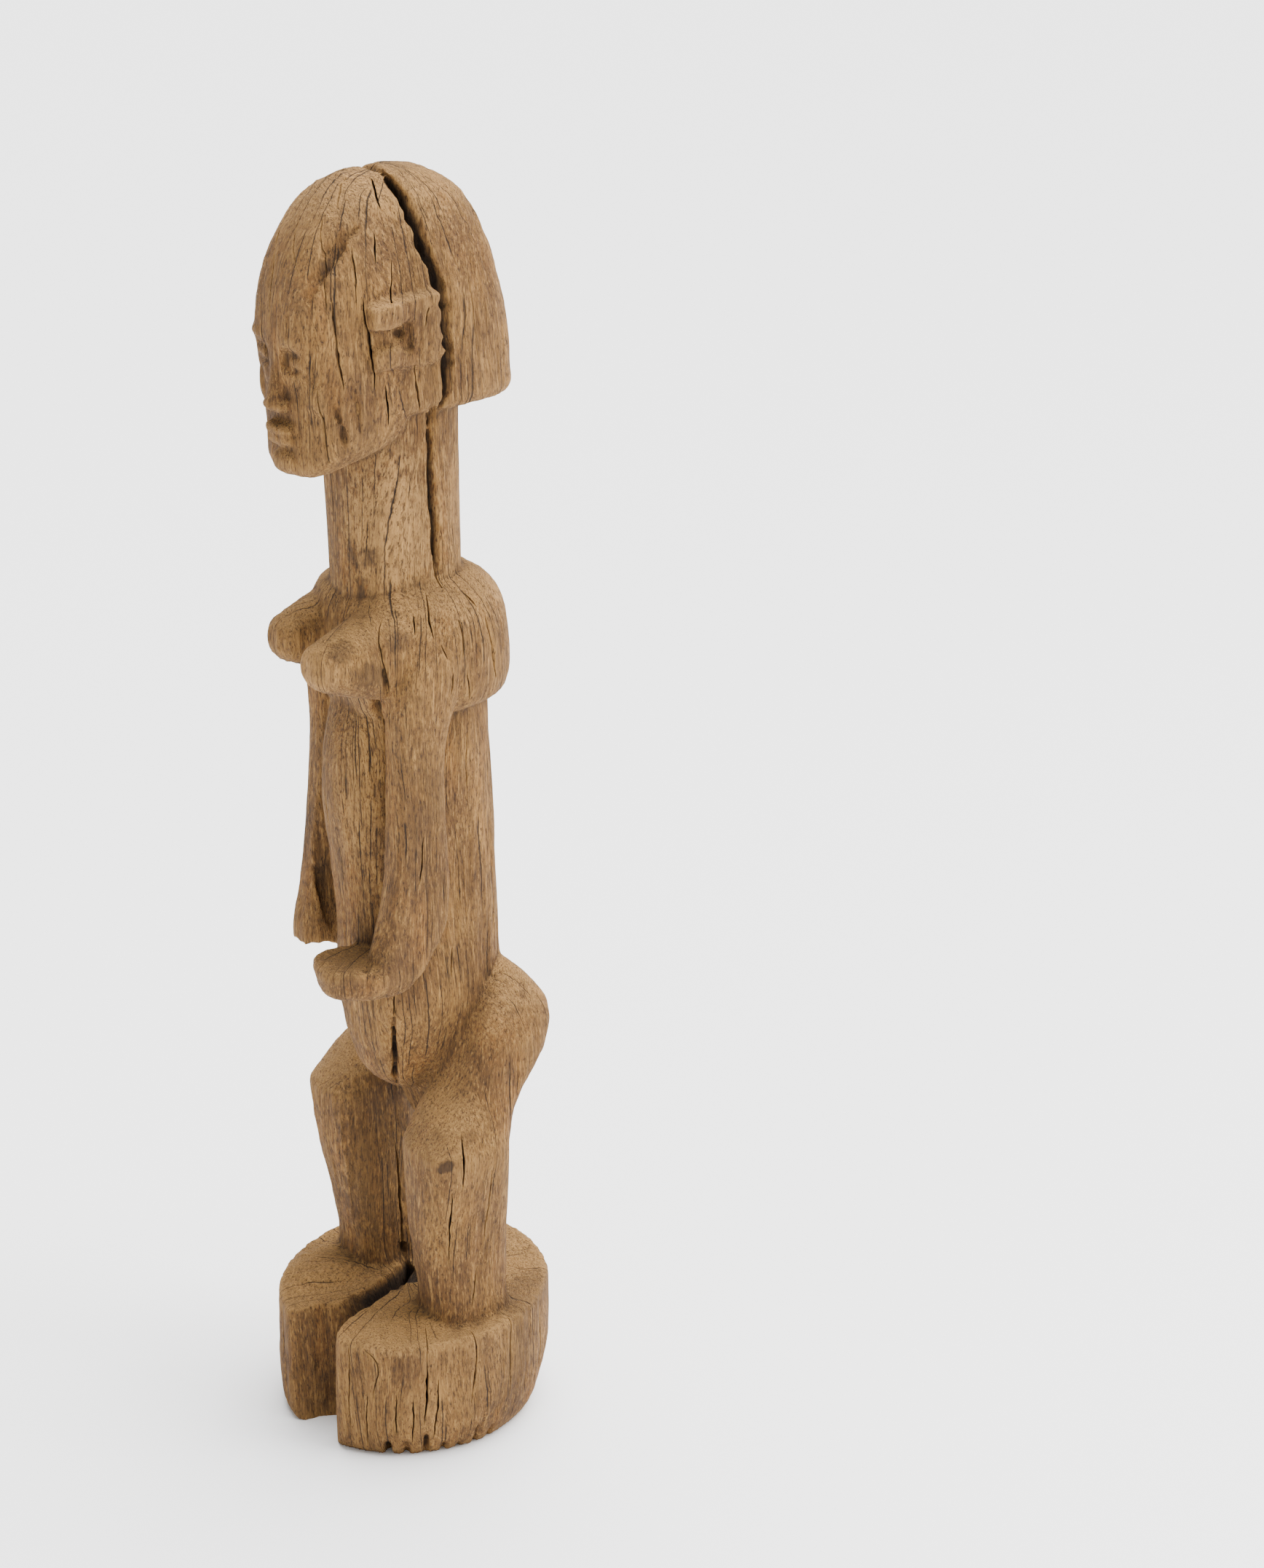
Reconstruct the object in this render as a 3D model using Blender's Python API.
"""A standing wooden figure and its round plinth, carved as one from a length of log.

Metres, +Z up. The figure faces -Y and its left side is +X. The origin is on the floor, under
the middle of the plinth. The plinth, the splits and the cuts have sizes of their own. The
carving is written in parts of the body's height, so it keeps its proportions at any height.
"""

from collections import namedtuple
from math import cos, pi, radians, sin

import bpy
import numpy as np
from mathutils import Euler, Vector

# Driving dimensions, in metres
FIGURE_HEIGHT = 0.600
PLINTH_HEIGHT = 0.063
PLINTH_RADIUS = 0.0648
PLINTH_FOOT_RADIUS = 0.0572
PLINTH_TOP_ROUNDING = 0.0025
PLINTH_FOOT_ROUNDING = 0.034
SLOT_MOUTH_WIDTH = 0.020
SLOT_WIDTH = 0.007
SLOT_END_WIDTH = 0.0016
NOTCH_WIDTH = 0.0028
NOTCH_HEIGHT = 0.009
NOTCH_DEPTH = 0.005
NOTCH_COUNT = 7
HEAD_SPLIT_WIDTH = 0.0105
NECK_CRACK_WIDTH = 0.0034
APRON_SLIT_WIDTH = 0.0036

# The body above the plinth is 537 parts high; every level and width of the carving counts them.
BODY_PARTS = 537
PART = (FIGURE_HEIGHT - PLINTH_HEIGHT) / BODY_PARTS

# The plinth's top rises by this share of its height at the rim on one side, and sinks on the other.
PLINTH_TILT = 0.050
PLINTH_HIGH_SIDE = radians(88)
# The worn foot stands off the plinth's middle by these shares of its radius.
PLINTH_FOOT_LEAN = (-0.030, -0.050)
PLINTH_SIDES = 48
# The gap between the feet follows this line from the rim inwards, in shares of the plinth's radius.
SLOT_LINE = (
    (0.216, -1.12),
    (0.162, -0.95),
    (0.097, -0.88),
    (0.074, -0.79),
    (0.054, -0.62),
    (0.039, -0.46),
    (-0.031, -0.23),
    (-0.123, -0.03),
    (-0.200, 0.10),
)
# Its width opens at the rim in shares of the mouth's width, then closes in shares of the slot's.
SLOT_MOUTH_SHARES = (3.4, 2.0, 1.3, 1.0)
SLOT_SHARES = (1.3, 0.9, 0.6, 0.4)
SLOT_FLARE = 1.3
# The notches stand side by side at the front left of the foot.
NOTCH_FIRST_ANGLE = radians(-45)
NOTCH_SPACING = radians(8.2)
NOTCH_SETBACK = 0.35

WOOD_COLOUR = (0.40, 0.24, 0.125, 1.0)
WOOD_ROUGHNESS = 0.82

Station = namedtuple("Station", "level x y half_x half_y")
CutStation = namedtuple("CutStation", "y level skin_width root_x")
SlitStation = namedtuple("SlitStation", "level share out")

# Each carved form as stacked oval sections, from its lowest level to its highest
LEG = (
    Station(-6, 36, 5, 20.5, 21.5),
    Station(6, 36, 4.5, 18.8, 19.5),
    Station(28, 36, 3.5, 19.5, 20.5),
    Station(47, 37.5, 1.5, 20.3, 21.5),
    Station(75, 40.5, -0.5, 21.5, 22.7),
    Station(89, 41.5, -1, 22.2, 23),
    Station(102, 39.2, 5.2, 21.6, 20.2),
    Station(114, 37, 15.2, 20.4, 18),
    Station(128, 36.2, 24.6, 20.8, 20),
    Station(139, 35.2, 29.2, 20.9, 20.4),
    Station(149, 33, 32.6, 19.3, 18.2),
    Station(159, 29, 33.5, 16, 12.5),
    Station(165.5, 26, 33.5, 11, 7),
    Station(169.5, 24, 33, 5, 3),
)
TRUNK = (
    Station(84, 0, 15, 12, 9.5),
    Station(93, 0, 12.5, 19.5, 16),
    Station(108, 0, 11, 24, 22),
    Station(130, 0, 8, 29, 29),
    Station(150, 0, 7, 34, 35.5),
    Station(178, 0, 7.5, 35, 34.5),
    Station(222, 0, 7.2, 34.8, 33.8),
    Station(262, 0, 6.6, 34.3, 33.1),
    Station(300, 0, 5.5, 33.5, 32.5),
    Station(330, 0, 5, 32, 32),
)
BELLY = (
    Station(111, 0, 0, 8, 8),
    Station(118, 0, -3.6, 16, 14.5),
    Station(132, 0, -5.6, 24, 19.6),
    Station(150, 0, -6, 26.5, 23),
    Station(168, 0, -7, 25, 23),
    Station(188, 0, -7, 24, 24),
    Station(222, 0, -7, 24.5, 26.5),
    Station(258, 0, -7, 24.5, 30),
    Station(284, 0, -7, 23.5, 27),
    Station(302, 0, -6, 22, 22.5),
    Station(318, 0, -4, 19, 17),
)
LEFT_ARM = (
    Station(173, 32.5, -34, 8, 9),
    Station(179, 34, -29.5, 9.5, 13.5),
    Station(187, 34, -24, 9.5, 14.5),
    Station(197, 34, -19, 9.5, 16),
    Station(214, 34, -15.5, 9.5, 15.5),
    Station(240, 34, -14, 9, 13.5),
    Station(280, 34.5, -13.5, 9, 12.5),
    Station(303, 36, -11.5, 10, 14.5),
    Station(323, 36, -7, 10.5, 15),
    Station(342, 33, -3, 9, 13),
)
RIGHT_ARM = (
    Station(173, -34, -21, 9, 15),
    Station(183, -34, -20.4, 9.5, 16.2),
    Station(197, -34, -17, 9.5, 16),
    Station(214, -34, -15, 9.5, 15),
    Station(240, -34, -13.5, 9, 13.5),
    Station(280, -34.5, -11.5, 9, 12),
    Station(303, -35.5, -10, 10, 13.5),
    Station(323, -35.5, -7, 10, 14),
    Station(342, -32, -4, 9, 12),
)
# The shoulders' block leans back a little about its own middle, level 0.
SHOULDERS = (
    Station(-27.5, 0, 0, 33, 32),
    Station(-24, 0, 0, 37.5, 35),
    Station(-18, 0, 0, 42.3, 38),
    Station(-10, 0, 0, 45.2, 39.6),
    Station(1, 0, 0, 45.7, 40.2),
    Station(11, 0, 0, 44.3, 39.4),
    Station(19, 0, 0, 41.5, 37),
    Station(26, 0, 0, 36.5, 33),
    Station(31, 0, 0, 30, 27),
)
SHOULDERS_PLACE = (0, 6.5, 326)
SHOULDERS_LEAN = 4
# A breast stands on its own axis: level 0 is its blunt tip.
BREAST = (
    Station(0, 0, 0, 5, 5),
    Station(2, 0, 0, 8.2, 8.2),
    Station(9, 0, 0, 11.4, 11.8),
    Station(20, 0, 0, 15.2, 16),
    Station(32, 0, 0, 17.7, 19.4),
    Station(46, 0, 0, 19.3, 22),
    Station(62, 0, 0, 19, 22),
)
LEFT_BREAST = ((24, 1, 328.5), (22, -60, 327.5))
RIGHT_BREAST = ((-24, 11, 326.5), (-22, -50.5, 327.5))
NECK = (
    Station(335, 0, 0.8, 28, 28),
    Station(400, 0, -0.4, 28.2, 28.4),
    Station(446, 0, -0.6, 28.6, 28.8),
)
SKULL = (
    Station(435.3, 0, 1.5, 31.5, 51),
    Station(438.5, 0, 0.5, 33, 53.5),
    Station(446, 0, -0.5, 33.5, 54),
    Station(461, 0, -2.4, 33.5, 55.6),
    Station(476, 0, -3.7, 33, 54.8),
    Station(490, 0, -4.2, 31.5, 52),
    Station(505, 0, -4, 28.2, 47.3),
    Station(518, 0, -3.3, 24, 40.8),
    Station(528, 0, -2.7, 19, 32),
    Station(533.2, 0, -2.7, 13.5, 23.5),
    Station(536.4, 0, -2.7, 7.5, 13),
    Station(537, 0, -2.7, 3.5, 6),
)
JAW = (
    Station(409.5, 0, -47, 13, 6),
    Station(412.5, 0, -45, 19, 9.5),
    Station(417.5, 0, -38.5, 25, 16),
    Station(422.5, 0, -32, 28.5, 22),
    Station(428.5, 0, -27, 30.5, 26.5),
    Station(434.5, 0, -24.5, 31.5, 29.5),
    Station(442.5, 0, -24.5, 31.5, 30),
    Station(450.5, 0, -24.5, 30, 29),
)
# A calm, even face: thirds from chin to nose to brow, and the eyes one eye's width apart
NOSE = (
    Station(438, 0, -51, 5, 5),
    Station(439.5, 0, -52, 6.7, 8.5),
    Station(445, 0, -52, 5.5, 8.2),
    Station(456, 0, -51, 4, 7.5),
    Station(474, 0, -50.5, 3.4, 6.5),
)
MOUTH = (
    Station(423, 0, -49, 8, 6),
    Station(424.5, 0, -49, 9.5, 7.5),
    Station(431.5, 0, -49, 9.5, 7.5),
    Station(433, 0, -49, 8, 6),
)
LIPS_MIDDLE, LIPS_HALVES = (0, -58.5, 428), (8.5, 3.5, 1.1)
EYE_MIDDLE, EYE_HALVES = (13.4, -50.5, 461), (6.7, 3.5, 2.4)
SOCKET_MIDDLE, SOCKET_HALVES = (14.5, -59, 461.5), (11, 8.5, 7.5)
EAR_MIDDLE, EAR_HALVES = (31.5, -14, 475.5), (6, 18, 13)
EAR_HOLE_MIDDLE, EAR_HOLE_HALVES = (37, -13, 474), (7, 6, 3.6)
EAR_GAP_MIDDLE, EAR_GAP_HALVES = (38, -27, 474), (5, 12, 3.2)

# The hand is a level slab: its sections are drawn about its own middle.
HAND = (
    Station(169.5, 0, 0, 11, 16.5),
    Station(172.5, 0, 0, 15, 20.5),
    Station(178, 0, 0, 16.8, 22),
    Station(185, 0, 0, 17, 22.5),
)
HAND_PLACE = (23.2, -36)
HAND_TURN = -20

# Splits, as a path down the left side: the width at the skin, and how near the middle they reach
HEAD_SPLIT = (
    CutStation(-9, 548, 0.5, -18),
    CutStation(-8.5, 536, 0.55, -12),
    CutStation(-7, 526, 0.65, -2),
    CutStation(-3, 510, 0.8, 6),
    CutStation(1.5, 491, 1.0, 10),
    CutStation(5.0, 472, 1.0, 11),
    CutStation(6.0, 454, 0.85, 12),
    CutStation(3.0, 441, 0.6, 14),
    CutStation(0.5, 432, 0.3, 16),
)
NECK_CRACK = (
    CutStation(1.0, 436, 1.0, 15),
    CutStation(1.5, 408, 1.0, 15),
    CutStation(3.5, 373, 0.9, 17),
    CutStation(4.6, 352, 0.8, 19),
    CutStation(5.0, 343, 0.4, 24),
)
SPLIT_SKIN_X = 46
SPLIT_ROOT_SHARE = 0.2
# The slit up the apron starts this far out from the middle, towards the front left.
APRON_SLIT = (
    SlitStation(98, 1.0, -4),
    SlitStation(112, 1.0, 4),
    SlitStation(128, 0.8, 13),
    SlitStation(146, 0.5, 18),
    SlitStation(164, 0.2, 18),
)
APRON_SLIT_REACH = 40
# The right arm's broken end: jagged bites side by side, each at a place from front to back and a turn
ARM_BREAK_BITES = ((-33, 28), (-25, -20), (-16, 24), (-8, -16))
ARM_BREAK_X, ARM_BREAK_LEVEL = -36, 168
ARM_BREAK_SIZE, ARM_BREAK_SPREAD = 12, 2.2
ARM_BREAK_SLANT = 6


def sections(stations, step):
    """Rows between the stations on a smooth curve, about one every step."""
    rows = np.array(stations, float)
    slopes = np.gradient(rows, rows[:, 0], axis=0)
    curve = []
    for low, high, slope_low, slope_high in zip(rows[:-1], rows[1:], slopes[:-1], slopes[1:]):
        span = high[0] - low[0]
        count = max(1, round(span / step))
        for t in np.arange(count) / count:
            near_low = 2 * t**3 - 3 * t**2 + 1
            ease_low = t**3 - 2 * t**2 + t
            ease_high = t**3 - t**2
            curve.append(
                near_low * low
                + (1 - near_low) * high
                + span * (ease_low * slope_low + ease_high * slope_high)
            )
    curve.append(rows[-1])
    return np.array(curve)


def closed_rings(name, rings):
    """A closed body from rings of equal count, wound the same way and stacked from the bottom up."""
    height, sides, _ = rings.shape
    points = [tuple(point) for ring in rings for point in ring]
    faces = [tuple(range(sides - 1, -1, -1))]
    for ring in range(height - 1):
        for side in range(sides):
            after = (side + 1) % sides
            low, high = ring * sides, (ring + 1) * sides
            faces.append((low + side, low + after, high + after, high + side))
    faces.append(tuple(range((height - 1) * sides, height * sides)))
    mesh = bpy.data.meshes.new(name)
    mesh.from_pydata(points, [], faces)
    mesh.shade_smooth()
    return bpy.data.objects.new(name, mesh)


def placed(x, y, level):
    """A place on the body, from parts to metres above the floor."""
    return Vector((x * PART, y * PART, PLINTH_HEIGHT + level * PART))


def take(piece, name, collection):
    """Name a piece that an operator made, and move it into the collection."""
    piece.name = name
    for holder in list(piece.users_collection):
        holder.objects.unlink(piece)
    collection.objects.link(piece)
    return piece


def carved(name, stations, collection, sides=24, step=9.0, square=2.5):
    """A form of stacked sections, each |x|^square + |y|^square = 1 about its own middle."""
    turn = np.arange(sides) * 2 * pi / sides
    across = np.sign(np.cos(turn)) * np.abs(np.cos(turn)) ** (2 / square)
    along = np.sign(np.sin(turn)) * np.abs(np.sin(turn)) ** (2 / square)
    rings = []
    for level, x, y, half_x, half_y in sections(stations, step):
        ring = np.stack([x + half_x * across, y + half_y * along, np.full(sides, level)], axis=1)
        rings.append(ring * PART)
    piece = closed_rings(name, np.array(rings))
    piece.location = placed(0, 0, 0)
    collection.objects.link(piece)
    return piece


def make_ball(name, middle, halves, collection, side=1):
    """An ellipsoid, its middle and half sizes in body parts, on the left side or mirrored to the right."""
    x, y, level = middle
    bpy.ops.mesh.primitive_uv_sphere_add(
        segments=14,
        ring_count=8,
        radius=PART,
        location=placed(side * x, y, level),
        scale=halves,
    )
    return take(bpy.context.object, name, collection)


def make_plinth(material):
    """The round plinth: nearly upright sides, a rounded top edge and a worn, drawn-in foot."""
    turn = np.arange(PLINTH_SIDES) * 2 * pi / PLINTH_SIDES
    profile = [(PLINTH_FOOT_RADIUS, 0.0)]
    foot_in = PLINTH_RADIUS - PLINTH_FOOT_RADIUS
    for angle in np.radians((25, 50, 75, 90)):
        radius = PLINTH_FOOT_RADIUS + foot_in * sin(angle)
        profile.append((radius, PLINTH_FOOT_ROUNDING * (1 - cos(angle))))
    for angle in np.radians((0, 30, 60, 90)):
        radius = PLINTH_RADIUS - PLINTH_TOP_ROUNDING * (1 - cos(angle))
        profile.append((radius, PLINTH_HEIGHT - PLINTH_TOP_ROUNDING * (1 - sin(angle))))
    tilt = 1 + PLINTH_TILT * np.cos(turn - PLINTH_HIGH_SIDE)
    rings = []
    for radius, height in profile:
        worn = max(0.0, 1 - height / PLINTH_FOOT_ROUNDING)
        x, y = (PLINTH_RADIUS * share * worn for share in PLINTH_FOOT_LEAN)
        rings.append(np.stack([x + radius * np.cos(turn), y + radius * np.sin(turn), height * tilt], axis=1))
    plinth = closed_rings("figure", np.array(rings))
    plinth.data.materials.append(material)
    return plinth


def make_breast(name, ends, collection):
    """A blunt cone whose axis runs from its tip back to its root."""
    root, tip = (placed(*end) for end in ends)
    piece = carved(name, BREAST, collection, sides=20, square=2.2)
    piece.rotation_euler = (root - tip).to_track_quat("Z", "Y").to_euler()
    piece.location = tip


def make_forms(forms):
    """All the carved forms that join the plinth."""
    for side, name in ((1, "left"), (-1, "right")):
        leg = [station._replace(x=side * station.x) for station in LEG]
        carved(f"leg_{name}", leg, forms, sides=22, square=2.4)
        make_ball(f"ear_{name}", EAR_MIDDLE, EAR_HALVES, forms, side)
        make_ball(f"eye_{name}", EYE_MIDDLE, EYE_HALVES, forms, side)
    carved("trunk", TRUNK, forms, sides=30, square=2.5, step=16)
    carved("belly", BELLY, forms, sides=22, square=2.2)
    carved("arm_left", LEFT_ARM, forms, sides=16, square=3.0, step=11)
    carved("arm_right", RIGHT_ARM, forms, sides=16, square=3.0, step=11)
    shoulders = carved("shoulders", SHOULDERS, forms, sides=34, square=2.6, step=7)
    shoulders.rotation_euler = Euler((radians(SHOULDERS_LEAN), 0, 0))
    shoulders.location = placed(*SHOULDERS_PLACE)
    make_breast("breast_left", LEFT_BREAST, forms)
    make_breast("breast_right", RIGHT_BREAST, forms)
    carved("neck", NECK, forms, sides=28, square=2.3, step=60)
    carved("skull", SKULL, forms, sides=36, square=3.0, step=8)
    carved("jaw", JAW, forms, sides=26, square=2.8, step=8)
    carved("nose", NOSE, forms, sides=12, square=2.6)
    carved("mouth", MOUTH, forms, sides=16, square=3.0, step=5)
    hand = carved("hand_left", HAND, forms, sides=24, square=2.6, step=6)
    hand.rotation_euler = Euler((0, 0, radians(HAND_TURN)))
    hand.location = placed(*HAND_PLACE, 0)


def make_split(name, stations, width, cuts):
    """A wedge let in from the left side, along a path of heights, narrowing to its root."""
    rings = []
    for y, level, share, root_x in reversed(stations):
        half = width * share / 2
        root, skin = placed(root_x, y, level), placed(SPLIT_SKIN_X, y, level)
        ring = [
            (root.x, root.y - half * SPLIT_ROOT_SHARE, root.z),
            (skin.x, skin.y - half, skin.z),
            (skin.x, skin.y + half, skin.z),
            (root.x, root.y + half * SPLIT_ROOT_SHARE, root.z),
        ]
        rings.append(ring)
    cuts.objects.link(closed_rings(name, np.array(rings)))


def make_slot(cuts):
    """The gap between the feet: a full height cut from the front rim back to the right ankle."""
    widths = [SLOT_MOUTH_WIDTH * share for share in SLOT_MOUTH_SHARES]
    widths += [SLOT_WIDTH * share for share in SLOT_SHARES] + [SLOT_END_WIDTH]
    middle = [(x * PLINTH_RADIUS, y * PLINTH_RADIUS) for x, y in SLOT_LINE]
    left = [(x + width / 2, y) for (x, y), width in zip(middle, widths)]
    right = [(x - width / 2, y) for (x, y), width in zip(middle, widths)]
    over = 2 * PLINTH_TILT * PLINTH_HEIGHT + PLINTH_TOP_ROUNDING
    flare_base = PLINTH_HEIGHT - SLOT_FLARE * SLOT_WIDTH
    rings = []
    for height, spread in ((-over, 0), (flare_base, 0), (PLINTH_HEIGHT + over, SLOT_WIDTH)):
        outline = [(x + spread, y) for x, y in left] + [(x - spread, y) for x, y in right[::-1]]
        rings.append([(x, y, height) for x, y in outline])
    cuts.objects.link(closed_rings("slot", np.array(rings)))


def make_notches(cuts):
    """Small upright notches along the front of the plinth's foot, like the gaps between toes."""
    radius = PLINTH_FOOT_RADIUS + NOTCH_DEPTH * NOTCH_SETBACK
    for index in range(NOTCH_COUNT):
        angle = NOTCH_FIRST_ANGLE + NOTCH_SPACING * index
        bpy.ops.mesh.primitive_cube_add(
            size=1,
            location=(radius * cos(angle), radius * sin(angle), 0),
            rotation=(0, 0, angle),
            scale=(NOTCH_DEPTH * 2, NOTCH_WIDTH, NOTCH_HEIGHT * 2),
        )
        take(bpy.context.object, f"notch_{index + 1}", cuts)


def make_head_cuts(cuts):
    """Two even eye hollows under a level brow, the line of the lips, and the ears' openings."""
    for side, name in ((1, "left"), (-1, "right")):
        make_ball(f"socket_{name}", SOCKET_MIDDLE, SOCKET_HALVES, cuts, side)
        make_ball(f"ear_hole_{name}", EAR_HOLE_MIDDLE, EAR_HOLE_HALVES, cuts, side)
        make_ball(f"ear_gap_{name}", EAR_GAP_MIDDLE, EAR_GAP_HALVES, cuts, side)
    make_ball("lips", LIPS_MIDDLE, LIPS_HALVES, cuts)


def make_arm_break(cuts):
    """The jagged end of the right arm, broken off above the hand."""
    for index, (y, turn) in enumerate(ARM_BREAK_BITES):
        bpy.ops.mesh.primitive_cube_add(
            size=ARM_BREAK_SIZE * PART,
            location=placed(ARM_BREAK_X, y, ARM_BREAK_LEVEL),
            rotation=(radians(turn), radians(ARM_BREAK_SLANT), 0),
            scale=(ARM_BREAK_SPREAD, 1, 1),
        )
        take(bpy.context.object, f"break_{index + 1}", cuts)


def make_apron_slit(cuts):
    """A slit up the front left of the apron, cut towards the middle and closing upwards."""
    outwards, aside = Vector((1, -1, 0)) * PART, Vector((1, 1, 0)).normalized()
    rings = []
    for level, share, out in APRON_SLIT:
        half = aside * APRON_SLIT_WIDTH * share / 2
        near = placed(0, 0, level) + outwards * out
        far = placed(0, 0, level) + outwards * APRON_SLIT_REACH
        rings.append([near - half, far - half, far + half, near + half])
    cuts.objects.link(closed_rings("apron_slit", np.array(rings)))


def wood():
    """Weathered, unpainted hardwood."""
    material = bpy.data.materials.new("weathered_wood")
    material.use_nodes = True
    shader = material.node_tree.nodes["Principled BSDF"]
    shader.inputs["Base Color"].default_value = WOOD_COLOUR
    shader.inputs["Roughness"].default_value = WOOD_ROUGHNESS
    shader.inputs["Metallic"].default_value = 0.0
    return material


def combine(figure, name, operation, collection):
    """Join or cut the figure with everything in a collection, which is then drawn as wire."""
    for piece in collection.objects:
        piece.hide_render = True
        piece.display_type = "WIRE"
    boolean = figure.modifiers.new(name, "BOOLEAN")
    boolean.operation = operation
    boolean.operand_type = "COLLECTION"
    boolean.collection = collection
    boolean.solver = "EXACT"


def collection_named(name):
    """A new collection in the scene."""
    collection = bpy.data.collections.new(name)
    bpy.context.scene.collection.children.link(collection)
    return collection


def main():
    for leftover in list(bpy.data.objects):
        bpy.data.objects.remove(leftover, do_unlink=True)
    piece = collection_named("carved_figure")
    forms = collection_named("forms_joined")
    cuts = collection_named("cuts")
    figure = make_plinth(wood())
    piece.objects.link(figure)
    make_forms(forms)
    make_split("head_split", HEAD_SPLIT, HEAD_SPLIT_WIDTH, cuts)
    make_split("neck_crack", NECK_CRACK, NECK_CRACK_WIDTH, cuts)
    make_slot(cuts)
    make_notches(cuts)
    make_head_cuts(cuts)
    make_arm_break(cuts)
    make_apron_slit(cuts)
    combine(figure, "carved forms", "UNION", forms)
    combine(figure, "cuts", "DIFFERENCE", cuts)


main()
